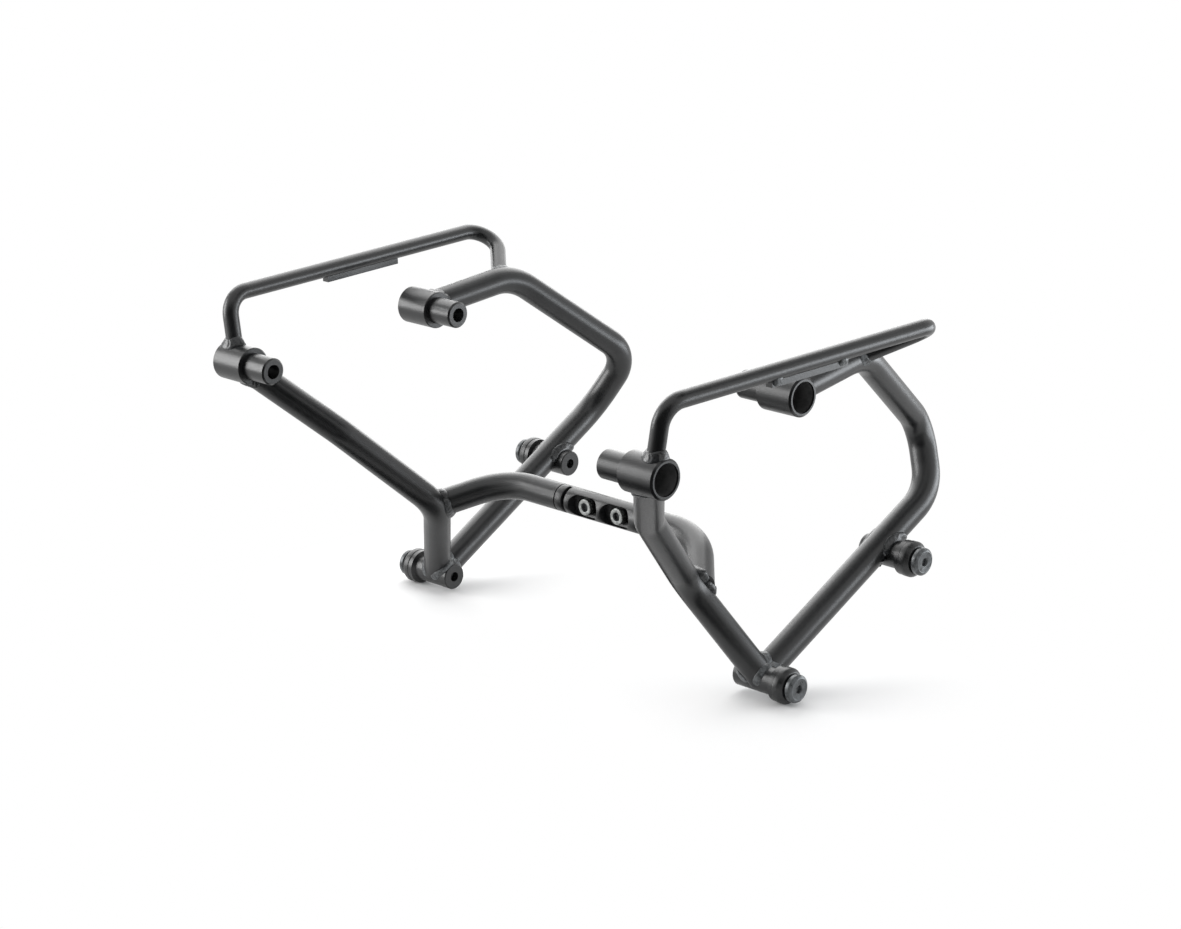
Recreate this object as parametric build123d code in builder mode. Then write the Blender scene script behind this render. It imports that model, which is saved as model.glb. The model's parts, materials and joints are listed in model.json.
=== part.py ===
import os
from build123d import *

# Stock: round tube for the frame and crossbar, round bar for the rail
tube_d = 17.2
tube_wall = 2.0
rail_d = 10.0
weld_size = 2.4

# Spread of the two sides: the middle plane to the tube axis at the lower bush
side_spread = 141.0

# Turned front and rear bosses: an outer cup and a stepped inner spigot
boss_d = 23.3
boss_bore_d = 18.6
boss_floor = 5.0
cup_length = 26.4
cup_edge = 1.15
step_edge = 0.5
spigot_d = 16.8
spigot_length = 19.4
spigot_chamfer = 1.0
bolt_hole_d = 9.0

# Bushes on the lower run: reach inwards and outwards from the tube axis, and the outer flange
bush_d = 16.6
bush_chamfer = 0.6
bush_inner_reach = 14.5
bush_outer_reach = 18.9
flange_d = 21.4
flange_length = 4.3
flange_back = 1.2

# Collars and mushroom-headed studs that the bag locks on
collar_d = 22.0
collar_length = 6.7
collar_taper = 2.7
collar_nose_d = 17.6
stud_d = 6.0
stud_clearance = 0.15
stud_end_recess = 4.0
neck_d = 12.0
neck_length = 1.3
head_d = 17.0
head_length = 4.4
head_chamfer = 1.3
head_socket = 4.0
head_socket_depth = 2.6

# Front boss: inner end outwards of the side spread, place along the bike, height
front_boss_out = 2.8
front_boss_y = -140.7
front_boss_z = 167.2

# Rear boss: inner end outwards of the side spread, place along the bike, height
rear_boss_out = -18.2
rear_boss_y = -8.0
rear_boss_z = 184.7

# Lower bush: place along the bike
lower_bush_y = -10.8

# Rear bush, set in a notch under the main tube: place along the low run, drop below the tube axis
rear_bush_along = 120.2
rear_bush_drop = 7.0

# Rail: corners, bends, inset of its foot from the front boss's outer end, share of the main tube's
# top bend at which its rear leg lands
rail_front_out = 45.5
rail_front_z = 208.2
rail_rear_out = 54.5
rail_rear_y = 92.4
rail_rear_z = 219.0
rail_bend = 14.0
rail_foot_inset = 10.4
rail_landing = 0.17

# Flat strip under the rail
strip_length = 60.5
strip_width = 5.0
strip_drop = 3.0
strip_start = 80.0

# Main tube: corners and bends
main_top_out = 9.2
main_top_y = 63.3
main_top_z = 194.9
main_back_out = -14.6
main_back_y = 148.0
main_back_z = 132.0
main_low_out = 4.4
main_low_y = 135.2
main_low_z = 95.6
main_top_bend = 36.0
main_back_bend = 21.0
main_low_bend = 36.0

# Front tube: corners, foot on the lower bush, bends
front_knee_out = -6.4
front_knee_y = -97.7
front_knee_z = 123.3
front_hip_out = -32.1
front_hip_y = -40.5
front_hip_z = 69.3
front_foot_shift = 2.0
front_bend = 30.0

# Crossbar: corner, bend, where the arm's axis passes behind the front tube's axis, its closed end
cross_corner_out = -57.4
cross_y = -3.2
cross_z = 82.7
cross_bend = 50.0
cross_set_back = 10.0
cross_sink = 5.0
cross_cap = 6.0

# Half-lap joint of the crossbar, right of the middle, with two slots and two screws
lap_shift = 6.4
lap_half = 32.3
lap_plug = 7.0
lap_gap = 1.0
lap_edge = 1.4
seam_edge = 0.8
slot_length = 25.2
slot_width = 13.4
slot_floor = 2.4
slot_pitch = 27.6
screw_d = 6.0
screw_clearance = 0.3
screw_head_d = 10.4
screw_head_length = 4.0
screw_head_edge = 0.4
screw_socket = 5.0
screw_socket_depth = 2.4
screw_end_recess = 1.0

# Places that follow from the sizes above, on the right-hand side
tube_bore_d = tube_d - 2 * tube_wall
boss_length = spigot_length + cup_length
boss_reach = Vector(boss_length, 0, 0)
bush_length = bush_inner_reach + bush_outer_reach
bush_reach = Vector(bush_length, 0, 0)
bush_middle = Vector(bush_inner_reach, 0, 0)
stud_hole_d = stud_d + 2 * stud_clearance
screw_hole_d = screw_d + 2 * screw_clearance
lower_bush_z = collar_d / 2
front_boss = Vector(side_spread + front_boss_out, front_boss_y, front_boss_z)
rear_boss = Vector(side_spread + rear_boss_out, rear_boss_y, rear_boss_z)
lower_bush = Vector(side_spread, lower_bush_y, lower_bush_z)
main_low = Vector(side_spread + main_low_out, main_low_y, main_low_z)
low_run_direction = (main_low - lower_bush).normalized()
low_run_under = low_run_direction.cross(Vector(1, 0, 0)).normalized()
rear_bush = lower_bush + low_run_direction * rear_bush_along + low_run_under * rear_bush_drop
lower_bush_start = lower_bush - bush_middle
rear_bush_start = rear_bush - bush_middle


def bent_line(corners, bend):
    with BuildLine() as path:
        FilletPolyline(*corners, radius=bend)
    return path.line


def bend_point(line, corner, share):
    arc = line.edges().filter_by(GeomType.CIRCLE).sort_by_distance(corner)[0]
    return arc @ share


def bar_along(line, outer_d, inner_d=0):
    with BuildPart() as bar:
        with BuildLine():
            add(line)
        with BuildSketch(Plane(line @ 0, z_dir=line % 0)):
            Circle(outer_d / 2)
            if inner_d:
                Circle(inner_d / 2, mode=Mode.SUBTRACT)
        sweep()
    return bar.part


def straight_bar(start, end, diameter):
    with BuildPart() as bar:
        with BuildSketch(Plane(start, z_dir=end - start)):
            Circle(diameter / 2)
        extrude(amount=(end - start).length)
    return bar.part


def turned(start, profile):
    with BuildPart() as piece:
        with BuildSketch(Plane(start, x_dir=(1, 0, 0), z_dir=(0, -1, 0))):
            with BuildLine():
                Polyline(*profile, close=True)
            make_face()
        revolve(axis=Axis(start, (1, 0, 0)))
    return piece.part


def cut_back(body, *cutters):
    with BuildPart() as piece:
        add(body)
        for cutter in cutters:
            add(cutter, mode=Mode.SUBTRACT)
    return piece.part.solids().sort_by(SortBy.VOLUME)[-1]


def weld_bead(grown_branch, grown_carrier, *pieces):
    with BuildPart() as bead:
        add(grown_branch)
        add(grown_carrier, mode=Mode.INTERSECT)
        for piece in pieces:
            add(piece, mode=Mode.SUBTRACT)
    return bead.part


# Centre lines of the bent pieces
cup_middle = Vector(spigot_length + cup_length / 2, 0, 0)
main_start = rear_boss + cup_middle
main_top = Vector(side_spread + main_top_out, main_top_y, main_top_z)
main_back = Vector(side_spread + main_back_out, main_back_y, main_back_z)
main_line = bent_line(
    [main_start, main_top, main_back, main_low, lower_bush],
    [main_top_bend, main_back_bend, main_low_bend],
)
front_start = front_boss + cup_middle
front_knee = Vector(side_spread + front_knee_out, front_knee_y, front_knee_z)
front_hip = Vector(side_spread + front_hip_out, front_hip_y, front_hip_z)
front_foot = lower_bush + Vector(front_foot_shift, 0, 0)
front_line = bent_line([front_start, front_knee, front_hip, front_foot], front_bend)
rail_foot = front_boss + Vector(boss_length - rail_foot_inset, 0, 0)
rail_front = Vector(side_spread + rail_front_out, front_boss_y, rail_front_z)
rail_rear = Vector(side_spread + rail_rear_out, rail_rear_y, rail_rear_z)
rail_end = bend_point(main_line, main_top, rail_landing)
rail_line = bent_line([rail_foot, rail_front, rail_rear, rail_end], rail_bend)
cross_start = Vector(lap_shift + lap_half + lap_plug, cross_y, cross_z)
cross_left_start = Vector(lap_shift - lap_half - lap_plug, cross_y, cross_z)
cross_corner = Vector(side_spread + cross_corner_out, cross_y, cross_z)
cross_meet = bend_point(front_line, front_hip, 0.5) + Vector(0, cross_set_back, 0)
cross_direction = (cross_meet - cross_corner).normalized()
cross_end = cross_meet + cross_direction * cross_sink
cross_bore_end = cross_end - cross_direction * cross_cap

# Solid outlines that neighbours are cut back to
front_boss_bar = straight_bar(front_boss, front_boss + boss_reach, boss_d)
rear_boss_bar = straight_bar(rear_boss, rear_boss + boss_reach, boss_d)
lower_bush_bar = straight_bar(lower_bush_start, lower_bush_start + bush_reach, bush_d)
rear_bush_bar = straight_bar(rear_bush_start, rear_bush_start + bush_reach, bush_d)
main_bar = bar_along(main_line, tube_d)
front_bar = bar_along(front_line, tube_d)
rail_bar = bar_along(rail_line, rail_d)

right_pieces = {}

# Front and rear bosses
boss_profile = [
    (0, bolt_hole_d / 2),
    (0, spigot_d / 2 - spigot_chamfer),
    (spigot_chamfer, spigot_d / 2),
    (spigot_length, spigot_d / 2),
    (spigot_length, boss_d / 2 - step_edge),
    (spigot_length + step_edge, boss_d / 2),
    (boss_length - cup_edge, boss_d / 2),
    (boss_length, boss_d / 2 - cup_edge),
    (boss_length, boss_bore_d / 2),
    (spigot_length + boss_floor, boss_bore_d / 2),
    (spigot_length + boss_floor, bolt_hole_d / 2),
]
right_pieces["front_boss"] = turned(front_boss, boss_profile)
right_pieces["rear_boss"] = turned(rear_boss, boss_profile)

# Main tube, coped to the rear boss and the lower bush, notched for the rear bush
main_hollow = bar_along(main_line, tube_d, tube_bore_d)
right_pieces["main_tube"] = cut_back(main_hollow, rear_boss_bar, lower_bush_bar, rear_bush_bar)

# Front tube, coped to the front boss, the lower bush and the main tube
front_hollow = bar_along(front_line, tube_d, tube_bore_d)
right_pieces["front_tube"] = cut_back(front_hollow, front_boss_bar, lower_bush_bar, main_bar)

# Rail, coped to the front boss and the main tube
right_pieces["rail"] = cut_back(rail_bar, front_boss_bar, main_bar)

# Strip, hollowed along its top to seat against the underside of the rail
rail_direction = (rail_rear - rail_front).normalized()
strip_middle = rail_front + rail_direction * (strip_start + strip_length / 2)
rail_side = rail_direction.cross(Vector(0, 0, 1)).normalized()
with BuildPart() as strip:
    with BuildSketch(Plane(strip_middle, x_dir=rail_direction, z_dir=rail_direction.cross(rail_side))):
        Rectangle(strip_length, strip_width)
    extrude(amount=rail_d / 2 + strip_drop)
    add(rail_bar, mode=Mode.SUBTRACT)
right_pieces["rail_strip"] = strip.part

# Bushes: a flanged outer end, a plain chamfered inner end
bush_profile = [
    (0, stud_hole_d / 2),
    (0, bush_d / 2 - bush_chamfer),
    (bush_chamfer, bush_d / 2),
    (bush_length - flange_length, bush_d / 2),
    (bush_length - flange_length + flange_back, flange_d / 2),
    (bush_length, flange_d / 2),
    (bush_length, stud_hole_d / 2),
]
right_pieces["lower_bush"] = turned(lower_bush_start, bush_profile)
right_pieces["rear_bush"] = turned(rear_bush_start, bush_profile)

# Collars and studs, on the outer face of each bush
collar_profile = [
    (0, stud_hole_d / 2),
    (0, collar_d / 2),
    (collar_length - collar_taper, collar_d / 2),
    (collar_length, collar_nose_d / 2),
    (collar_length, stud_hole_d / 2),
]
neck_end = collar_length + neck_length
head_end = neck_end + head_length
stud_profile = [
    (stud_end_recess - bush_length, 0),
    (stud_end_recess - bush_length, stud_d / 2),
    (collar_length, stud_d / 2),
    (collar_length, neck_d / 2),
    (neck_end, neck_d / 2),
    (neck_end, head_d / 2),
    (head_end - head_chamfer, head_d / 2),
    (head_end, head_d / 2 - head_chamfer),
    (head_end, 0),
]
for place, axis_point in (("rear", rear_bush), ("lower", lower_bush)):
    seat = axis_point + Vector(bush_outer_reach, 0, 0)
    right_pieces[f"{place}_collar"] = turned(seat, collar_profile)
    with BuildPart() as stud:
        add(turned(seat, stud_profile))
        with BuildSketch(Plane(seat + Vector(head_end, 0, 0), z_dir=(1, 0, 0))):
            RegularPolygon(head_socket / 2, 6, major_radius=False)
        extrude(amount=-head_socket_depth, mode=Mode.SUBTRACT)
    right_pieces[f"{place}_stud"] = stud.part



# Crossbar tube from its lap end, the arm closed at the end and coped to the front tube
def crossbar_tube(start):
    cross_bar = bar_along(bent_line([start, cross_corner, cross_end], cross_bend), tube_d)
    cross_bore = bar_along(bent_line([start, cross_corner, cross_bore_end], cross_bend), tube_bore_d)
    return cut_back(cross_bar, cross_bore, front_bar)


right_pieces["crossbar"] = crossbar_tube(cross_start)
long_crossbar = crossbar_tube(Vector(-cross_left_start.X, cross_y, cross_z))

# Weld beads round each joint
tube_grown_d = tube_d + 2 * weld_size
rail_grown_d = rail_d + 2 * weld_size
boss_grown_d = boss_d + 2 * weld_size
bush_grown_d = bush_d + 2 * weld_size
front_grown = bar_along(front_line, tube_grown_d)
main_grown = bar_along(main_line, tube_grown_d)
rail_foot_grown = straight_bar(rail_foot, rail_front, rail_grown_d)
rail_leg_grown = straight_bar(rail_end, rail_rear, rail_grown_d)
cross_arm_grown = straight_bar(cross_end + cross_direction * weld_size, cross_corner, tube_grown_d)
cross_arm_bar = straight_bar(cross_end, cross_corner, tube_d)
front_boss_grown = straight_bar(front_boss, front_boss + boss_reach, boss_grown_d)
rear_boss_grown = straight_bar(rear_boss, rear_boss + boss_reach, boss_grown_d)
bush_span = Vector(bush_length - flange_length, 0, 0)
lower_bush_grown = straight_bar(lower_bush_start, lower_bush_start + bush_span, bush_grown_d)
rear_bush_grown = straight_bar(rear_bush_start, rear_bush_start + bush_span, bush_grown_d)
right_pieces["weld_rail_front"] = weld_bead(rail_foot_grown, front_boss_grown, rail_bar, front_boss_bar)
right_pieces["weld_rail_rear"] = weld_bead(rail_leg_grown, main_grown, rail_bar, main_bar)
right_pieces["weld_front_boss"] = weld_bead(front_grown, front_boss_grown, front_bar, front_boss_bar)
right_pieces["weld_rear_boss"] = weld_bead(main_grown, rear_boss_grown, main_bar, rear_boss_bar)
right_pieces["weld_crossbar"] = weld_bead(cross_arm_grown, front_grown, cross_arm_bar, front_bar)
right_pieces["weld_rear_bush"] = weld_bead(rear_bush_grown, main_grown, rear_bush_bar, main_bar)
with BuildPart() as lower_tubes_grown:
    add(front_grown)
    add(main_grown)
right_pieces["weld_lower_bush"] = weld_bead(
    lower_tubes_grown.part, lower_bush_grown, lower_bush_bar, main_bar, front_bar
)

# Half-lap ends of the crossbar: the right one is slotted, the left one is tapped
lap_plane = Plane((lap_shift, cross_y, cross_z), x_dir=(1, 0, 0), z_dir=(0, -1, 0))
near_end = Vector(lap_shift - lap_half + lap_gap, cross_y, cross_z)
slots = GridLocations(slot_pitch, 0, 2, 1)
lap_length = 2 * lap_half - lap_gap + lap_plug
lap_profile = [
    (0, 0),
    (0, tube_d / 2 - lap_edge),
    (lap_edge, tube_d / 2),
    (lap_length - seam_edge, tube_d / 2),
    (lap_length, tube_d / 2 - seam_edge),
    (lap_length, 0),
]
with BuildPart() as right_lap_end:
    add(turned(near_end, lap_profile))
    with BuildSketch(lap_plane):
        with Locations((lap_gap / 2, 0)):
            Rectangle(2 * lap_half, 2 * tube_d)
    extrude(amount=-tube_d, mode=Mode.SUBTRACT)
    with BuildSketch(lap_plane.offset(slot_floor)):
        with slots:
            SlotOverall(slot_length, slot_width)
    extrude(amount=tube_d, mode=Mode.SUBTRACT)
    with BuildSketch(lap_plane):
        with slots:
            SlotOverall(slot_length - slot_width + screw_hole_d, screw_hole_d)
    extrude(amount=tube_d, mode=Mode.SUBTRACT)
with BuildPart() as left_lap_end:
    add(turned(cross_left_start, [(lap_length - along, radius) for along, radius in lap_profile]))
    with BuildSketch(lap_plane):
        with Locations((-lap_gap / 2, 0)):
            Rectangle(2 * lap_half, 2 * tube_d)
    extrude(amount=tube_d, mode=Mode.SUBTRACT)
    with BuildSketch(lap_plane):
        with slots:
            Circle(screw_hole_d / 2)
    extrude(amount=-tube_d, mode=Mode.SUBTRACT)

# Socket screws through the half-lap
with BuildPart() as joint_screws:
    with BuildSketch(lap_plane.offset(slot_floor)):
        with slots:
            Circle(screw_head_d / 2)
    extrude(amount=screw_head_length)
    chamfer(joint_screws.faces().sort_by(Axis.Y)[:2].edges(), screw_head_edge)
    with BuildSketch(lap_plane.offset(slot_floor)):
        with slots:
            Circle(screw_d / 2)
    extrude(amount=screw_end_recess - tube_d / 2 - slot_floor)
    with BuildSketch(lap_plane.offset(slot_floor + screw_head_length)):
        with slots:
            RegularPolygon(screw_socket / 2, 6, major_radius=False)
    extrude(amount=-screw_socket_depth, mode=Mode.SUBTRACT)

# Write every piece; the left side mirrors the right, with the longer crossbar tube
os.makedirs("parts", exist_ok=True)


def save(name, piece):
    piece.label = name
    export_step(piece, f"parts/{name}.step")


left_pieces = {**right_pieces, "crossbar": long_crossbar}
for name, piece in right_pieces.items():
    save(f"right_{name}", piece)
    with BuildPart() as twin:
        mirror(left_pieces[name], about=Plane.YZ)
    save(f"left_{name}", twin.part)
save("right_lap_end", right_lap_end.part)
save("left_lap_end", left_lap_end.part)
save("joint_screws", joint_screws.part)
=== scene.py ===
import bpy
import json
import math
import random
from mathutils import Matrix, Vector


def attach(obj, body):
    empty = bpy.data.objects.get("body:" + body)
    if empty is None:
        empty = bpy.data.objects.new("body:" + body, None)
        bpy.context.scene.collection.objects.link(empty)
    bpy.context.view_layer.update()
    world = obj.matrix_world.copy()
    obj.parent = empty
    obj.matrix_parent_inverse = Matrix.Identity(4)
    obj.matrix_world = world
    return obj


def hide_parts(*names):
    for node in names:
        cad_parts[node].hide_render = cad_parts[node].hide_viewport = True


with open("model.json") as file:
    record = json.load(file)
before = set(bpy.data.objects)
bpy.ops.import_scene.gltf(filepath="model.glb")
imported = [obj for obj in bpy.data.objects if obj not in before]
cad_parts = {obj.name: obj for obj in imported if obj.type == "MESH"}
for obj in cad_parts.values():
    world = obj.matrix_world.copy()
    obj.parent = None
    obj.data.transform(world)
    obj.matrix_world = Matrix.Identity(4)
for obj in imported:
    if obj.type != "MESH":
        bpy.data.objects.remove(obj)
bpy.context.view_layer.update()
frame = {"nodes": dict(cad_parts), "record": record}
nodes = frame["nodes"]
mm = 0.001
print("frame loaded:", len(nodes), "nodes")


def hexToLinear(hexText):
    parts = [int(hexText[i:i + 2], 16) / 255 for i in (1, 3, 5)]
    return [c / 12.92 if c <= 0.04045 else ((c + 0.055) / 1.055) ** 2.4 for c in parts] + [1.0]


def addNode(tree, kind, settings=None, links=None):
    node = tree.nodes.new(kind)
    for key, value in (settings or {}).items():
        if isinstance(key, int) or key in node.inputs:
            node.inputs[key].default_value = value
        else:
            setattr(node, key, value)
    for key, source in (links or {}).items():
        tree.links.new(source, node.inputs[key])
    return node


def newMaterial(name):
    material = bpy.data.materials.new(name)
    material.use_nodes = True
    tree = material.node_tree
    tree.nodes.clear()
    return material, tree


def rampBetween(tree, source, low, high, start=0.35, stop=0.65):
    ramp = addNode(tree, "ShaderNodeValToRGB", links={"Fac": source})
    ramp.color_ramp.elements[0].position = start
    ramp.color_ramp.elements[1].position = stop
    ramp.color_ramp.elements[0].color = low
    ramp.color_ramp.elements[1].color = high
    return ramp.outputs["Color"]


def grey(value):
    return [value, value, value, 1.0]


def noiseOf(tree, place, size, detail):
    return addNode(tree, "ShaderNodeTexNoise", {"Scale": 1 / (size * mm), "Detail": detail}, {"Vector": place})


# satin black polyester powder coat on steel tube: a soft sheen, fine grit and faint mottling
coatLook = {
    "dark": "#0f1011", "light": "#161718",   # mottled colour
    "mottle": 9.0, "grit": 0.9,              # sizes in mm; grit is drawn coarser than the real 0.2 mm so that it shows
    "smooth": 0.31, "rough": 0.39,           # range of roughness
    "bump": 0.12,
}
# the same coat over the welds, painted paler all over as a painted highlight on the lumpy crests, with random mottling
weldPaintedHighlightLook = {
    "dark": "#131415", "light": "#2a2c2e",
    "mottle": 3.5, "grit": 0.8,
    "smooth": 0.26, "rough": 0.40,
    "bump": 0.35,
}
# the coat over the tacks and two of the weld runs, rough and paler still: the paler colour is a painted highlight
# where these lumps catch the light
tackPaintedHighlightLook = {
    "dark": "#2a2c2d", "light": "#56595b",
    "mottle": 2.0, "grit": 0.7,
    "smooth": 0.34, "rough": 0.50,
    "bump": 0.45,
}
# painted light inside the cups: a paler, dull grey in place of the black coat, so that the deep bores read lighter
cupPaintedLightLook = {
    "dark": "#3c3c3c", "light": "#505050",
    "mottle": 5.0, "grit": 0.9,
    "smooth": 0.55, "rough": 0.70,
    "bump": 0.10,
}
gritDepth = 0.3   # height of the grit as a share of its size


def powderCoat(name, look):
    material, tree = newMaterial(name)
    place = addNode(tree, "ShaderNodeTexCoord").outputs["Object"]
    mottle = noiseOf(tree, place, look["mottle"], 3.0)
    grit = noiseOf(tree, place, look["grit"], 2.0)
    colour = rampBetween(tree, mottle.outputs["Fac"], hexToLinear(look["dark"]), hexToLinear(look["light"]))
    rough = rampBetween(tree, grit.outputs["Fac"], grey(look["smooth"]), grey(look["rough"]))
    bump = addNode(tree, "ShaderNodeBump", {"Strength": look["bump"], "Distance": look["grit"] * mm * gritDepth},
                   {"Height": grit.outputs["Fac"]})
    shader = addNode(tree, "ShaderNodeBsdfPrincipled", {"IOR": 1.55},
                     {"Base Color": colour, "Roughness": rough, "Normal": bump.outputs["Normal"]})
    addNode(tree, "ShaderNodeOutputMaterial", links={"Surface": shader.outputs["BSDF"]})
    return material


# zinc plate on the joint screws: a pale, soft metal sheen with a little cloudiness
zincLook = {
    "dark": "#858887", "light": "#b4b6b4",
    "cloud": 1.6, "depth": 0.1,   # mm
    "smooth": 0.42, "rough": 0.56,
    "bump": 0.10,
}


def zincPlate():
    material, tree = newMaterial("zincPlatedSteel")
    place = addNode(tree, "ShaderNodeTexCoord").outputs["Object"]
    cloud = noiseOf(tree, place, zincLook["cloud"], 4.0)
    colour = rampBetween(tree, cloud.outputs["Fac"], hexToLinear(zincLook["dark"]), hexToLinear(zincLook["light"]))
    rough = rampBetween(tree, cloud.outputs["Fac"], grey(zincLook["smooth"]), grey(zincLook["rough"]))
    bump = addNode(tree, "ShaderNodeBump", {"Strength": zincLook["bump"], "Distance": zincLook["depth"] * mm},
                   {"Height": cloud.outputs["Fac"]})
    shader = addNode(tree, "ShaderNodeBsdfPrincipled", {"Metallic": 1.0},
                     {"Base Color": colour, "Roughness": rough, "Normal": bump.outputs["Normal"]})
    addNode(tree, "ShaderNodeOutputMaterial", links={"Surface": shader.outputs["BSDF"]})
    return material


# black-oxide turned steel of the studs: fine tool rings across the axis, a dull metal sheen
oxideLook = {
    "dark": "#3a3c3d", "light": "#575a5c",
    "ring": 0.7, "cloud": 3.0, "depth": 0.1,   # mm
    "smooth": 0.26, "rough": 0.36,
    "bump": 0.10,
}
bandLength = 0.314   # length of one band of the wave texture at scale 1


def blackOxide():
    material, tree = newMaterial("blackOxideSteel")
    place = addNode(tree, "ShaderNodeTexCoord").outputs["Object"]
    cloud = noiseOf(tree, place, oxideLook["cloud"], 3.0)
    rings = addNode(tree, "ShaderNodeTexWave",
                    {"wave_type": "BANDS", "bands_direction": "X", "Distortion": 0.6,
                     "Scale": bandLength / (oxideLook["ring"] * mm)},
                    {"Vector": place})
    colour = rampBetween(tree, cloud.outputs["Fac"], hexToLinear(oxideLook["dark"]), hexToLinear(oxideLook["light"]))
    rough = rampBetween(tree, cloud.outputs["Fac"], grey(oxideLook["smooth"]), grey(oxideLook["rough"]))
    bump = addNode(tree, "ShaderNodeBump", {"Strength": oxideLook["bump"], "Distance": oxideLook["depth"] * mm},
                   {"Height": rings.outputs["Fac"]})
    shader = addNode(tree, "ShaderNodeBsdfPrincipled", {"Metallic": 0.3},
                     {"Base Color": colour, "Roughness": rough, "Normal": bump.outputs["Normal"]})
    addNode(tree, "ShaderNodeOutputMaterial", links={"Surface": shader.outputs["BSDF"]})
    return material


# moulded black rubber of the collars: dull, very dark, with a faint moulded grain
rubberLook = {
    "dark": "#121313", "light": "#1e1f20",
    "grain": 1.1, "depth": 0.2,   # mm
    "smooth": 0.32, "rough": 0.44,
    "bump": 0.14,
}


def mouldedRubber():
    material, tree = newMaterial("mouldedRubber")
    place = addNode(tree, "ShaderNodeTexCoord").outputs["Object"]
    grain = noiseOf(tree, place, rubberLook["grain"], 3.0)
    colour = rampBetween(tree, grain.outputs["Fac"], hexToLinear(rubberLook["dark"]), hexToLinear(rubberLook["light"]))
    rough = rampBetween(tree, grain.outputs["Fac"], grey(rubberLook["smooth"]), grey(rubberLook["rough"]))
    bump = addNode(tree, "ShaderNodeBump", {"Strength": rubberLook["bump"], "Distance": rubberLook["depth"] * mm},
                   {"Height": grain.outputs["Fac"]})
    shader = addNode(tree, "ShaderNodeBsdfPrincipled", {"IOR": 1.52},
                     {"Base Color": colour, "Roughness": rough, "Normal": bump.outputs["Normal"]})
    addNode(tree, "ShaderNodeOutputMaterial", links={"Surface": shader.outputs["BSDF"]})
    return material


finishes = {
    "frame_coat": powderCoat("satinPowderCoat", coatLook),
    "weld_coat": powderCoat("powderCoatOverWeldPaintedHighlight", weldPaintedHighlightLook),
    "screw_steel": zincPlate(),
    "stud_steel": blackOxide(),
    "collar_rubber": mouldedRubber(),
}
finishes["lap_coat"] = finishes["frame_coat"]
# a paler coat that stands in for light: painted highlight on the tacks and two weld runs
paintedHighlightCoat = powderCoat("powderCoatPaintedHighlight", tackPaintedHighlightLook)
# painted light: a paler grey for the inside of the cups
cupPaintedLight = powderCoat("paintedLightInCups", cupPaintedLightLook)
for part in frame["record"]["subparts"]:
    cadNode = nodes[part["node"]]
    cadNode.data.materials.clear()
    cadNode.data.materials.append(finishes[part["material_slot"]])
print("finishes on the CAD nodes")


def startPiece():
    if bpy.context.object and bpy.context.object.mode != "OBJECT":
        bpy.ops.object.mode_set(mode="OBJECT")
    bpy.ops.object.select_all(action="DESELECT")


def endPiece(piece, name, slotName, *replaced, finish=None):
    piece.name = name
    piece.data.name = name
    piece.data.materials.clear()
    piece.data.materials.append(finish or finishes[slotName])
    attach(piece, "root")
    if replaced:
        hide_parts(*replaced)


def makeActive(piece):
    startPiece()
    piece.select_set(True)
    bpy.context.view_layer.objects.active = piece


def joined(pieces):
    startPiece()
    for piece in pieces:
        piece.select_set(True)
    bpy.context.view_layer.objects.active = pieces[0]
    if len(pieces) > 1:
        bpy.ops.object.join()
    return bpy.context.object


def turnOutward():
    bpy.ops.object.mode_set(mode="EDIT")
    bpy.ops.mesh.select_all(action="SELECT")
    bpy.ops.mesh.normals_make_consistent(inside=False)
    bpy.ops.object.mode_set(mode="OBJECT")


def point(values):
    return Vector(values) * mm


# weld runs on the right-hand side: where the branch starts, what it points at, its radius, the nodes it is welded to,
# and the legs of the fillet in mm, first up the branch, then out over what carries it
weldRuns = {
    "weld_rail_front": [
        {"foot": (179.2, -140.7, 167.2), "toward": (186.5, -140.7, 208.2), "radius": 5.0,
         "legs": (5.0, 3.2), "bulge": 0.50, "on": ["front_boss"]},
    ],
    "weld_rail_rear": [
        {"foot": (150.85, 53.34, 193.16), "toward": (195.5, 92.4, 219.0), "radius": 5.0,
         "legs": (3.0, 2.6), "bulge": 0.45, "on": ["main_tube"]},
    ],
    "weld_front_boss": [
        {"foot": (176.4, -140.7, 167.2), "toward": (134.6, -97.7, 123.3), "radius": 8.6,
         "legs": (2.6, 2.2), "bulge": 0.95, "rim": 0.95, "on": ["front_boss"]},
    ],
    "weld_rear_boss": [
        {"foot": (155.4, -8.0, 184.7), "toward": (150.2, 63.3, 194.9), "radius": 8.6,
         "legs": (4.2, 2.6), "bulge": 0.50, "on": ["rear_boss"]},
    ],
    "weld_crossbar": [
        {"foot": (115.02, -34.9, 67.16), "toward": (83.6, -3.2, 82.7), "radius": 8.6,
         "legs": (3.6, 3.0), "bulge": 0.62, "closedEnd": True, "on": ["front_tube"]},
    ],
    "weld_rear_bush": [
        {"foot": (144.13, 96.68, 65.19), "toward": (244.13, 96.68, 65.19), "radius": 8.3,
         "legs": (1.8, 5.8), "bulge": 0.34, "rim": 1.1, "lump": 0.07, "on": ["main_tube"]},
        {"foot": (144.13, 96.68, 65.19), "toward": (44.13, 96.68, 65.19), "radius": 8.3,
         "legs": (1.8, 5.8), "bulge": 0.34, "rim": 1.1, "lump": 0.07, "on": ["main_tube"]},
    ],
    "weld_lower_bush": [
        {"foot": (141.0, -10.8, 11.0), "toward": (145.4, 135.2, 95.6), "radius": 8.6,
         "legs": (3.4, 2.8), "bulge": 0.58, "on": ["lower_bush", "front_tube"]},
        {"foot": (143.0, -10.8, 11.0), "toward": (108.9, -40.5, 69.3), "radius": 8.6,
         "legs": (2.8, 2.4), "bulge": 0.58, "on": ["lower_bush"]},
    ],
}
paintedHighlightRuns = ("weld_lower_bush", "weld_rail_rear")   # these runs take the paler, rougher coat: a painted highlight
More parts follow.
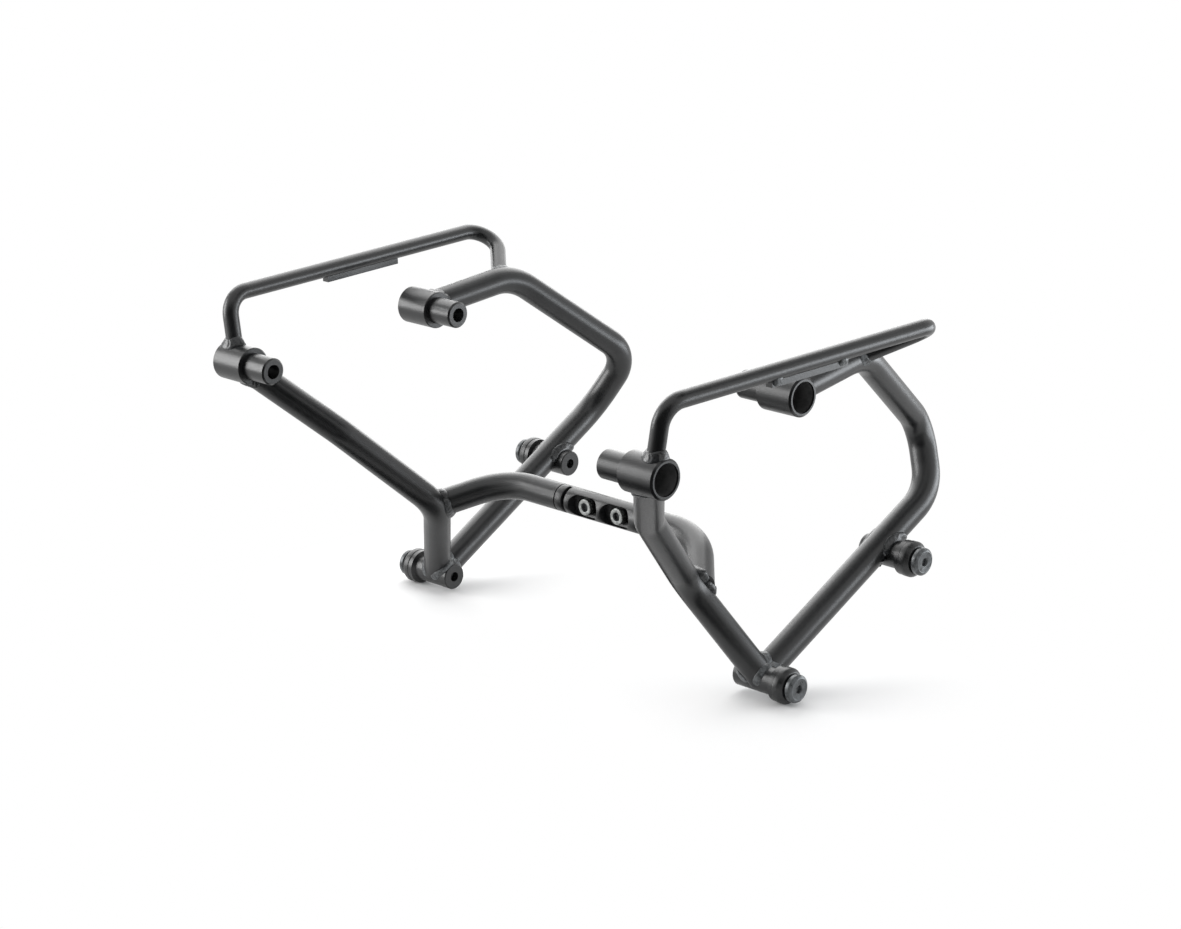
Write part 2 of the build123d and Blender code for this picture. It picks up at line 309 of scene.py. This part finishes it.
beadLook = {
    "steps": 150,         # places tried round the branch
    "sides": 20,          # facets round the bead
    "face": 0.7,          # share of the facets on the face that shows
    "rim": 0.40,          # mm that the toes stand proud
    "ripple": 2.3,        # mm between ripples
    "rippleDepth": 0.07,  # mm
    "lump": 0.24,         # slow swelling along the run
    "reach": 60.0,        # mm out along the branch where the search starts
    "farthest": 1.6,      # longest search, as a multiple of the reach
    "overlap": 6,         # places by which a closed run overlaps its own start; an open run has more than these
    "ease": 2,            # neighbours on each side that smooth the seam
    "swells": [(5.1, 0.5), (2.3, 0.3), (1.2, 0.2)],   # mm and share of each swelling wave
    "taper": 0.6,         # length of the tapered ends, as a share of both legs
    "bury": 0.2,          # mm that the toes lie under the skin
    "root": 0.35,         # depth of the hidden root, as a share of the mean leg
    "edge": 0.12,         # share of the face over which a toe rises
    "chevron": 1.6,       # mm that a ripple trails at its ends
}


def nearestHit(names, side, start, direction):
    best = None
    for name in names:
        hit, place, normal, face = nodes[f"{side}_{name}"].ray_cast(start, direction)
        if hit and (best is None or (place - start).length < (best[0] - start).length):
            best = (place, normal)
    return best


def seamRound(run, side):
    foot = point(run["foot"])
    along = (point(run["toward"]) - foot).normalized()
    across = along.orthogonal().normalized()
    third = along.cross(across)
    found = []
    for i in range(beadLook["steps"]):
        turn = 2 * math.pi * i / beadLook["steps"]
        radial = across * math.cos(turn) + third * math.sin(turn)
        rim = foot + radial * run["radius"] * mm
        start = rim + along * beadLook["reach"] * mm
        best = nearestHit(run["on"], side, start, -along)
        skin = radial
        farthest = (1.0 if run.get("closedEnd") else beadLook["farthest"]) * beadLook["reach"] * mm
        if best and (best[0] - start).length > farthest:
            best = None
        if best is None and run.get("closedEnd"):   # the bead crosses the closed end of the arm
            best = nearestHit(run["on"], side, rim, -radial)
            skin = -along
        found.append((best[0], best[1], skin) if best else None)
    return found


def seamRuns(found):
    count = len(found)
    if all(found):
        return [[found[i % count] for i in range(count + beadLook["overlap"])]]
    first = next(i for i in range(count) if found[i] is None)
    runs, current = [], []
    for i in range(first, first + count + 1):
        item = found[i % count]
        if item is None:
            if len(current) > beadLook["overlap"]:
                runs.append(current)
            current = []
        else:
            current.append(item)
    return runs


def eased(seam):
    smooth = []
    for i in range(len(seam)):
        near = seam[max(0, i - beadLook["ease"]):i + beadLook["ease"] + 1]
        place = sum((item[0] for item in near), Vector()) / len(near)
        base = sum((item[1] for item in near), Vector()).normalized()
        skin = sum((item[2] for item in near), Vector()).normalized()
        smooth.append((place, base, skin))
    return smooth


def seamSection(seam, travel, share):
    count = len(seam)
    spot = share * (count - 1)
    low = min(int(spot), count - 2)
    mix = spot - low
    corner, base, skin = (seam[low][k].lerp(seam[low + 1][k], mix) for k in range(3))
    ahead = (seam[min(low + 2, count - 1)][0] - seam[max(low - 1, 0)][0]).normalized()
    up = skin.cross(ahead).normalized()
    up = up if up.dot(base) > 0 else -up          # up the branch, away from what carries it
    out = base.cross(ahead).normalized()
    out = out if out.dot(skin) > 0 else -out      # over the carrier, away from the branch
    distance = (travel[low] + (travel[low + 1] - travel[low]) * mix) / mm
    return corner, base.normalized(), skin.normalized(), up, out, distance


def layBead(seam, run, side, seed):
    draw = random.Random(seed)
    lump = run.get("lump", beadLook["lump"])
    phases = [draw.uniform(0, 2 * math.pi) for i in range(6)]
    seam = eased(seam)
    travel = [0.0]
    for i in range(1, len(seam)):
        travel.append(travel[-1] + (seam[i][0] - seam[i - 1][0]).length)
    startPiece()
    bpy.ops.mesh.primitive_uv_sphere_add(segments=beadLook["sides"], ring_count=len(seam) * 2, radius=1.0)
    bead = bpy.context.object
    sections = {}
    for vertex in bead.data.vertices:
        share = math.acos(max(-1.0, min(1.0, vertex.co.z))) / math.pi   # 0 to 1 along the run
        around = (math.atan2(vertex.co.y, vertex.co.x) / (2 * math.pi)) % 1.0
        key = round(share * len(seam) * 2)
        if key not in sections:
            corner, base, skin, up, out, distance = seamSection(seam, travel, share)
            swell = [sum(math.sin(distance / length + phases[k + i]) * part
                         for i, (length, part) in enumerate(beadLook["swells"])) for k in (0, 3)]
            end = min(share, 1 - share) * travel[-1] / mm / (beadLook["taper"] * sum(run["legs"]))
            taper = math.sqrt(max(0.0, 1 - max(0.0, 1 - end) ** 2))
            upLeg = run["legs"][0] * mm * taper * (1 + lump * swell[0])
            outLeg = run["legs"][1] * mm * taper * (1 + lump * swell[1])
            toe = corner + out * outLeg
            landings = [nodes[f"{side}_{name}"].closest_point_on_mesh(toe)[1] for name in run["on"]]
            near = min(landings, key=lambda landing: (landing - toe).length)
            low = near - base * beadLook["bury"] * mm
            high = corner + up * upLeg - skin * beadLook["bury"] * mm
            root = corner - (base + skin).normalized() * beadLook["root"] * (upLeg + outLeg) / 2
            middle = corner + (low + high - corner * 2) * run["bulge"]
            sections[key] = (low, middle, high, root, base, skin, distance, taper)
        low, middle, high, root, base, skin, distance, taper = sections[key]
        if around < beadLook["face"]:
            s = around / beadLook["face"]
            edge = min(1.0, s / beadLook["edge"], (1 - s) / beadLook["edge"])
            trail = beadLook["chevron"] * (2 * s - 1) ** 2
            ripple = beadLook["rippleDepth"] * math.cos(2 * math.pi * (distance + trail) / beadLook["ripple"])
            lift = run.get("rim", beadLook["rim"]) * edge + ripple * edge * math.sin(math.pi * s)
            lie = (base * (1 - s) + skin * s).normalized()
            vertex.co = low * (1 - s) ** 2 + middle * 2 * s * (1 - s) + high * s * s + lie * lift * mm * taper
        else:
            s = (around - beadLook["face"]) / (1 - beadLook["face"])
            vertex.co = high * (1 - s) ** 2 + root * 2 * s * (1 - s) + low * s * s
    return bead


def finishBead(beads):
    piece = joined(beads)
    turnOutward()
    bpy.ops.object.shade_smooth()
    return piece


def mirroredRun(run):
    turned = dict(run)
    for key in ("foot", "toward"):
        turned[key] = (-run[key][0], run[key][1], run[key][2])
    return turned


bpy.context.view_layer.update()
seed = 0
for side in ("right", "left"):
    for name, runs in weldRuns.items():
        beads = []
        for run in runs:
            here = run if side == "right" else mirroredRun(run)
            for seam in seamRuns(seamRound(here, side)):
                seed += 1
                beads.append(layBead(seam, here, side, seed))
        # some runs take the paler coat: a painted highlight
        endPiece(finishBead(beads), f"{side}_{name}_bead", "weld_coat", f"{side}_{name}",
                 finish=paintedHighlightCoat if name in paintedHighlightRuns else None)
print("weld beads laid")

turnLook = {
    "sides": 72,           # facets round a turned piece
    "softEdge": 0.18,      # mm of rounding on its edges
    "roundedOver": 25.0,   # degrees from which an edge is rounded
    "smoothUnder": 35.0,   # degrees up to which faces are shaded as one
    "tiny": 0.001,         # mm
}
bothSides = (("right", 1), ("left", -1))


def turnedPiece(profile, closed=False):
    startPiece()
    place, radius = profile[0]
    bpy.ops.mesh.primitive_circle_add(vertices=turnLook["sides"], radius=radius * mm, location=(0, 0, place * mm),
                                      fill_type="NOTHING" if closed else "NGON")
    piece = bpy.context.object
    bpy.ops.object.transform_apply(location=True, rotation=False, scale=False)
    bpy.ops.object.mode_set(mode="EDIT")
    bpy.ops.mesh.select_all(action="SELECT")
    for along, size in profile[1:]:
        bpy.ops.mesh.extrude_region_move(TRANSFORM_OT_translate={"value": (0, 0, (along - place) * mm)})
        bpy.ops.transform.resize(value=(size / radius, size / radius, 1), center_override=(0, 0, along * mm))
        place, radius = along, size
    bpy.ops.mesh.select_all(action="SELECT")
    bpy.ops.mesh.remove_doubles(threshold=turnLook["tiny"] * mm)
    turnOutward()
    return piece


def cutAway(piece, cutter):
    makeActive(piece)
    cut = piece.modifiers.new("cut", "BOOLEAN")
    cut.operation = "DIFFERENCE"
    cut.object = cutter
    bpy.ops.object.modifier_apply(modifier=cut.name)
    bpy.data.objects.remove(cutter)


def cutSocket(piece, top, flat, depth, mouth):
    startPiece()
    bpy.ops.mesh.primitive_cylinder_add(vertices=6, radius=flat / math.sqrt(3) * mm, depth=2 * depth * mm,
                                        location=(0, 0, top * mm))
    cutters = [bpy.context.object]
    # a cone of 45 degrees, as wide as the mouth at the top face and as the hexagon's flats below
    bpy.ops.mesh.primitive_cone_add(vertices=turnLook["sides"], radius1=0.5 * flat * mm,
                                    radius2=(2 * mouth - 0.5 * flat) * mm,
                                    depth=(4 * mouth - 2 * flat) * mm, location=(0, 0, top * mm))
    cutters.append(bpy.context.object)
    for cutter in cutters:
        cutAway(piece, cutter)


def softenEdges(piece, width=turnLook["softEdge"]):
    makeActive(piece)
    soft = piece.modifiers.new("soft", "BEVEL")
    soft.width = width * mm
    soft.segments = 2
    soft.limit_method = "ANGLE"
    soft.angle_limit = math.radians(turnLook["roundedOver"])
    bpy.ops.object.modifier_apply(modifier=soft.name)
    bpy.ops.object.shade_smooth_by_angle(angle=math.radians(turnLook["smoothUnder"]))


def placedCopy(model, place, turn):
    makeActive(model)
    bpy.ops.object.duplicate(linked=False)
    piece = bpy.context.object
    piece.location = point(place)
    piece.rotation_euler = [math.radians(angle) for angle in turn]
    bpy.ops.object.transform_apply(location=True, rotation=True, scale=False)
    return piece


# mushroom-headed studs and their collars, seated on the outer face of each bush
seats = {"rear": (163.03, 96.68, 65.19), "lower": (159.9, -10.8, 11.0)}
studLook = {
    "profile": [(-29.4, 2.6), (-29.0, 3.0), (6.7, 3.0), (6.7, 6.0), (8.0, 6.0), (8.0, 8.0), (8.5, 8.5),
                (10.8, 8.5), (11.2, 8.3), (12.25, 6.9), (12.4, 6.6), (12.4, 6.3), (12.25, 6.1)],
    "face": 12.25, "socket": 4.0, "socketDepth": 2.4, "mouth": 2.6,
}
collarLook = {
    "profile": [(0.0, 3.15), (0.0, 10.6), (0.4, 11.0), (3.8, 11.0), (4.4, 10.8),
                (6.3, 9.2), (6.7, 8.6), (6.7, 3.15), (0.0, 3.15)],
}
studModel = turnedPiece(studLook["profile"])
cutSocket(studModel, studLook["face"], studLook["socket"], studLook["socketDepth"], studLook["mouth"])
softenEdges(studModel)
collarModel = turnedPiece(collarLook["profile"], closed=True)
softenEdges(collarModel)
for side, sign in bothSides:
    for name, seat in seats.items():
        place, outward = (sign * seat[0], seat[1], seat[2]), (0, 90 * sign, 0)
        endPiece(placedCopy(studModel, place, outward),
                 f"{side}_{name}_stud_turned", "stud_steel", f"{side}_{name}_stud")
        endPiece(placedCopy(collarModel, place, outward),
                 f"{side}_{name}_collar_moulded", "collar_rubber", f"{side}_{name}_collar")
bpy.data.objects.remove(studModel)
bpy.data.objects.remove(collarModel)
print("studs and collars turned")

# thin skin of painted light inside each cup of the bosses
cupLook = {
    "front": (143.8, -140.7, 167.2), "rear": (122.8, -8.0, 184.7),
    "profile": [(24.50, 4.8), (24.50, 9.16), (44.5, 9.16), (44.5, 9.10), (24.56, 9.10), (24.56, 4.8), (24.50, 4.8)],
}
cupModel = turnedPiece(cupLook["profile"], closed=True)
makeActive(cupModel)
bpy.ops.object.shade_smooth_by_angle(angle=math.radians(turnLook["smoothUnder"]))
for side, sign in bothSides:
    for name in ("front", "rear"):
        x, y, z = cupLook[name]
        endPiece(placedCopy(cupModel, (sign * x, y, z), (0, 90 * sign, 0)),
                 f"{side}_{name}_cup_skin", "frame_coat", finish=cupPaintedLight)
bpy.data.objects.remove(cupModel)
print("cups lined")

# half-lap ends of the crossbar, turned as thick as the tube, halved, and slotted on the right
lapLook = {
    "middle": (6.4, -3.2, 82.7), "lipEdge": 0.3,
    "profile": [(-31.3, 7.2), (-29.9, 8.6), (38.5, 8.6), (39.3, 7.8)],
    "halved": (-33.0, 32.8), "cutter": 40.0,
    "slots": [{"width": 13.4, "from": -14.0, "to": -2.4},   # the slot
              {"width": 6.6, "from": -5.0, "to": 2.0}],     # its screw hole
    "slotReach": 5.9, "slotPitch": 27.6,
}
lapModel = turnedPiece(lapLook["profile"])
low, high = lapLook["halved"]
startPiece()
bpy.ops.mesh.primitive_cube_add(size=1.0, location=point((0, lapLook["cutter"] / 2, (low + high) / 2)),
                                scale=point((lapLook["cutter"], lapLook["cutter"], high - low)))
cutAway(lapModel, bpy.context.object)
slottedModel = placedCopy(lapModel, (0, 0, 0), (0, 0, 0))
for slot in lapLook["slots"]:
    for along in (-lapLook["slotPitch"] / 2, lapLook["slotPitch"] / 2):
        startPiece()
        bpy.ops.mesh.primitive_cylinder_add(vertices=turnLook["sides"], radius=slot["width"] / 2 * mm,
                                            depth=(slot["to"] - slot["from"]) * mm,
                                            location=(0, 0, 0), rotation=(math.pi / 2, 0, 0))
        cutter = bpy.context.object
        bpy.ops.object.transform_apply(location=False, rotation=True, scale=False)
        for vertex in cutter.data.vertices:
            vertex.co.z += math.copysign(lapLook["slotReach"], vertex.co.z + turnLook["tiny"] * mm) * mm
        cutter.location = (0, (slot["from"] + slot["to"]) / 2 * mm, along * mm)
        cutAway(slottedModel, cutter)
softenEdges(lapModel, lapLook["lipEdge"])
softenEdges(slottedModel, lapLook["lipEdge"])
endPiece(placedCopy(slottedModel, lapLook["middle"], (0, 90, 0)), "right_lap_end_slotted", "lap_coat", "right_lap_end")
endPiece(placedCopy(lapModel, lapLook["middle"], (0, 90, 180)), "left_lap_end_halved", "lap_coat", "left_lap_end")
bpy.data.objects.remove(lapModel)
bpy.data.objects.remove(slottedModel)
print("lap ends turned and slotted")

# socket screws in the slots of the half-lap, with a knurled side and a countersunk socket
screwLook = {
    "profile": [(-10.0, 2.6), (-9.6, 3.0), (0.0, 3.0), (0.0, 4.9), (0.3, 5.2),
                (3.5, 5.2), (3.8, 5.1), (4.0, 4.85), (4.0, 4.4)],
    "places": [(20.2, -5.6, 82.7), (-7.4, -5.6, 82.7)], "turn": (90, 0, 0),
    "top": 4.0, "socket": 5.0, "socketDepth": 2.4, "mouth": 2.9, "knurl": 0.14, "knurlFrom": 5.15,
}
screwModel = turnedPiece(screwLook["profile"])
for vertex in screwModel.data.vertices:
    radius = vertex.co.xy.length / mm
    turn = round(math.atan2(vertex.co.y, vertex.co.x) / (2 * math.pi) * turnLook["sides"])
    if radius > screwLook["knurlFrom"] and turn % 2:
        vertex.co.x *= 1 - screwLook["knurl"] / radius
        vertex.co.y *= 1 - screwLook["knurl"] / radius
cutSocket(screwModel, screwLook["top"], screwLook["socket"], screwLook["socketDepth"], screwLook["mouth"])
softenEdges(screwModel)
screws = [placedCopy(screwModel, place, screwLook["turn"]) for place in screwLook["places"]]
bpy.data.objects.remove(screwModel)
endPiece(joined(screws), "joint_screws_socketed", "screw_steel", "joint_screws")

# painted shade inside the sockets: a thin skin of the dark stud steel over the zinc, darkening the recess
socketShadeLook = {"inset": 0.03, "thick": 0.04, "below": 0.5}   # mm; its wall ends below the screw's top face
floorAt = screwLook["top"] - screwLook["socketDepth"] + socketShadeLook["inset"]
neckAt = screwLook["top"] - 2 * screwLook["mouth"] + screwLook["socket"]
startPiece()
bpy.ops.mesh.primitive_circle_add(vertices=6, radius=(screwLook["socket"] / math.sqrt(3) - socketShadeLook["inset"]) * mm,
                                  location=(0, 0, floorAt * mm), fill_type="NGON")
hexCup = bpy.context.object
bpy.ops.object.transform_apply(location=True, rotation=False, scale=False)
bpy.ops.object.mode_set(mode="EDIT")
bpy.ops.mesh.select_all(action="SELECT")
wall = screwLook["top"] - socketShadeLook["below"] - floorAt
bpy.ops.mesh.extrude_region_move(TRANSFORM_OT_translate={"value": (0, 0, wall * mm)})
bpy.ops.mesh.delete(type="ONLY_FACE")
bpy.ops.object.mode_set(mode="OBJECT")
startPiece()
bpy.ops.mesh.primitive_circle_add(vertices=turnLook["sides"], radius=(screwLook["socket"] / 2) * mm,
                                  location=(0, 0, neckAt * mm), fill_type="NOTHING")
mouthRing = bpy.context.object
bpy.ops.object.transform_apply(location=True, rotation=False, scale=False)
bpy.ops.object.mode_set(mode="EDIT")
bpy.ops.mesh.select_all(action="SELECT")
mouthSize = (2 * screwLook["mouth"] - 2 * socketShadeLook["inset"]) / screwLook["socket"]
rise = screwLook["top"] - neckAt - socketShadeLook["inset"]
bpy.ops.mesh.extrude_region_move(TRANSFORM_OT_translate={"value": (0, 0, rise * mm)})
bpy.ops.transform.resize(value=(mouthSize, mouthSize, 1), center_override=(0, 0, screwLook["top"] * mm))
bpy.ops.object.mode_set(mode="OBJECT")
joined([hexCup, mouthRing])
skin = hexCup.modifiers.new("skin", "SOLIDIFY")
skin.thickness = socketShadeLook["thick"] * mm
bpy.ops.object.modifier_apply(modifier=skin.name)
turnOutward()
socketShades = [placedCopy(hexCup, place, screwLook["turn"]) for place in screwLook["places"]]
bpy.data.objects.remove(hexCup)
endPiece(joined(socketShades), "joint_screw_painted_shade", "stud_steel")
print("socket screws turned")

# two tacks hold each strip to its rail, in the corner on the outer side
tackLook = {
    "middle": (190.75, -30.65, 213.3), "along": (0.0385, 0.9982, 0.0462), "outward": (0.99926, -0.03857, 0.0),
    "halfStrip": 30.25, "halfWidth": 2.5, "railRadius": 5.0, "half": 4.0, "steps": 16,
    "legs": (3.4, 2.8), "bulge": 0.95, "rim": 0.6, "on": ["rail"],
}


def tackSeam(sign, at):
    flip = Vector((sign, 1, 1))
    along = Vector(tackLook["along"]).normalized()
    outward = Vector(tackLook["outward"]).normalized()
    under = along.cross(outward).normalized()
    drop = math.sqrt(tackLook["railRadius"] ** 2 - tackLook["halfWidth"] ** 2)
    corner = Vector(tackLook["middle"]) + outward * tackLook["halfWidth"] + under * drop + along * at
    base = (outward * tackLook["halfWidth"] + under * drop).normalized()
    seam = []
    for i in range(tackLook["steps"]):
        step = tackLook["half"] * (2 * i / (tackLook["steps"] - 1) - 1)
        seam.append((point((corner + along * step) * flip), base * flip, outward * flip))
    return seam


for side, sign in bothSides:
    tacks = []
    for at in (tackLook["half"] - tackLook["halfStrip"], tackLook["halfStrip"] - tackLook["half"]):
        seed += 1
        tacks.append(layBead(tackSeam(sign, at), tackLook, side, seed))
    # the tacks take the paler coat: a painted highlight
    endPiece(finishBead(tacks), f"{side}_strip_tacks", "weld_coat", finish=paintedHighlightCoat)
print("strip tacks laid")

# stage: a white paper floor that keeps the shadow at the two feet of the part and burns out to white away from them
stageLook = {
    "floorSize": 6.0, "floorColour": "#f2f2f2",
    "foot": (0.15, 0.011, 0.0),                            # metres from the middle to each foot
    "nearGlow": 0.0,                                       # share of plain white at the feet
    "nearEdge": 0.015, "farEdge": 0.12,                    # where the burn starts and ends
    "worldColour": "#ffffff", "worldLight": 0.73,
    "flagColour": "#0b0b0b",
}


def seenRays(tree):
    rays = addNode(tree, "ShaderNodeLightPath")
    seen = addNode(tree, "ShaderNodeMath", {"operation": "ADD"},
                   {0: rays.outputs["Is Camera Ray"], 1: rays.outputs["Is Glossy Ray"]})
    return addNode(tree, "ShaderNodeMath", {"operation": "ADD", "use_clamp": True},
                   {0: seen.outputs[0], 1: rays.outputs["Is Transmission Ray"]}).outputs[0]


startPiece()
bpy.ops.mesh.primitive_plane_add(size=stageLook["floorSize"], location=(0, 0, 0))
floor = bpy.context.object
floor.name = "studioFloor"
floorPaper, tree = newMaterial("studioPaper")
place = addNode(tree, "ShaderNodeTexCoord").outputs["Object"]
eitherSide = addNode(tree, "ShaderNodeVectorMath", {"operation": "ABSOLUTE"}, {0: place})
distance = addNode(tree, "ShaderNodeVectorMath", {"operation": "DISTANCE", 1: stageLook["foot"]},
                   {0: eitherSide.outputs[0]})
burn = addNode(tree, "ShaderNodeMapRange",
               {"From Min": stageLook["nearEdge"], "From Max": stageLook["farEdge"],
                "To Min": stageLook["nearGlow"], "To Max": 1.0},
               {"Value": distance.outputs["Value"]})
share = addNode(tree, "ShaderNodeMath", {"operation": "MULTIPLY"}, {0: seenRays(tree), 1: burn.outputs[0]})
paper = addNode(tree, "ShaderNodeBsdfDiffuse", {"Color": hexToLinear(stageLook["floorColour"])})
glow = addNode(tree, "ShaderNodeEmission", {"Color": hexToLinear("#ffffff"), "Strength": 1.0})
blend = addNode(tree, "ShaderNodeMixShader", links={0: share.outputs[0], 1: paper.outputs[0], 2: glow.outputs[0]})
addNode(tree, "ShaderNodeOutputMaterial", links={"Surface": blend.outputs[0]})
floor.data.materials.append(floorPaper)

world = bpy.data.worlds.new("whiteStudio")
bpy.context.scene.world = world
world.use_nodes = True
tree = world.node_tree
tree.nodes.clear()
level = addNode(tree, "ShaderNodeMapRange", {"To Min": stageLook["worldLight"], "To Max": 1.0},
                {"Value": seenRays(tree)})
sky = addNode(tree, "ShaderNodeBackground", {"Color": hexToLinear(stageLook["worldColour"])},
              {"Strength": level.outputs[0]})
addNode(tree, "ShaderNodeOutputWorld", links={"Surface": sky.outputs[0]})

# black cards in front, on the floor and above, seen only in reflections: they give the tubes their dark cores
flags = {
    "frontFlag": {"place": (0.25, -0.70, 0.49), "size": (1.43, 0.86), "tilt": 112.0, "turn": 46.0},
    "floorFlag": {"place": (0.48, -0.26, 0.004), "size": (1.15, 0.58), "tilt": 0.0, "turn": 26.0},
    "underFlag": {"place": (-0.064, -0.08, 0.003), "size": (0.25, 0.077), "tilt": 0.0, "turn": 41.0},
    "topFlag": {"place": (0.385, 0.163, 0.707), "size": (0.36, 0.36), "tilt": 43.0, "turn": 100.0},
}
flagCard, tree = newMaterial("blackCard")
card = addNode(tree, "ShaderNodeBsdfDiffuse", {"Color": hexToLinear(stageLook["flagColour"])})
addNode(tree, "ShaderNodeOutputMaterial", links={"Surface": card.outputs[0]})
for name, look in flags.items():
    startPiece()
    bpy.ops.mesh.primitive_plane_add(size=1.0, location=look["place"],
                                     rotation=(math.radians(look["tilt"]), 0, math.radians(look["turn"])))
    flag = bpy.context.object
    flag.name = name
    flag.scale = (look["size"][0], look["size"][1], 1.0)
    bpy.ops.object.transform_apply(location=False, rotation=False, scale=True)
    flag.data.materials.append(flagCard)
    flag.visible_camera = False
    flag.visible_diffuse = False
    flag.visible_shadow = False

softBoxes = {
    "leftBox": {"place": (-1.15, -0.95, 0.48), "aim": (0, 0, 0.14), "size": (0.80, 0.92),
                "watts": 15.6, "colour": "#ffffff"},
    "rightBox": {"place": (0.56, 0.64, 0.135), "aim": (0, 0, 0.20), "size": (0.80, 0.27),
                 "watts": 4.1, "colour": "#eef3f8"},
    "backBox": {"place": (-0.70, 0.49, 0.62), "aim": (0, 0, 0.1), "size": (1.36, 1.24),
                "watts": 13.6, "colour": "#ffffff"},
}
for name, box in softBoxes.items():
    lamp = bpy.data.lights.new(name, "AREA")
    lamp.shape = "RECTANGLE"
    lamp.size, lamp.size_y = box["size"]
    lamp.energy = box["watts"]
    lamp.color = hexToLinear(box["colour"])[:3]
    lampObject = bpy.data.objects.new(name, lamp)
    bpy.context.scene.collection.objects.link(lampObject)
    lampObject.location = box["place"]
    lampObject.rotation_euler = (Vector(box["aim"]) - Vector(box["place"])).to_track_quat("-Z", "Y").to_euler()
print("stage and lights ready")

# the photograph's view, solved from the symmetry of the two sides; metres, degrees and mm
cameraView = {"place": (1.27329, -1.26078, 0.61564), "tilt": 74.238122, "turn": 45.546158,
              "lens": 92.68, "sensor": 36.0}
cameraData = bpy.data.cameras.new("photoCamera")
cameraData.lens = cameraView["lens"]
cameraData.sensor_width = cameraView["sensor"]
cameraData.sensor_fit = "HORIZONTAL"
camera = bpy.data.objects.new("photoCamera", cameraData)
camera.location = cameraView["place"]
camera.rotation_euler = (math.radians(cameraView["tilt"]), 0, math.radians(cameraView["turn"]))
bpy.context.scene.collection.objects.link(camera)
bpy.context.scene.camera = camera
bpy.context.scene.view_settings.view_transform = "Standard"
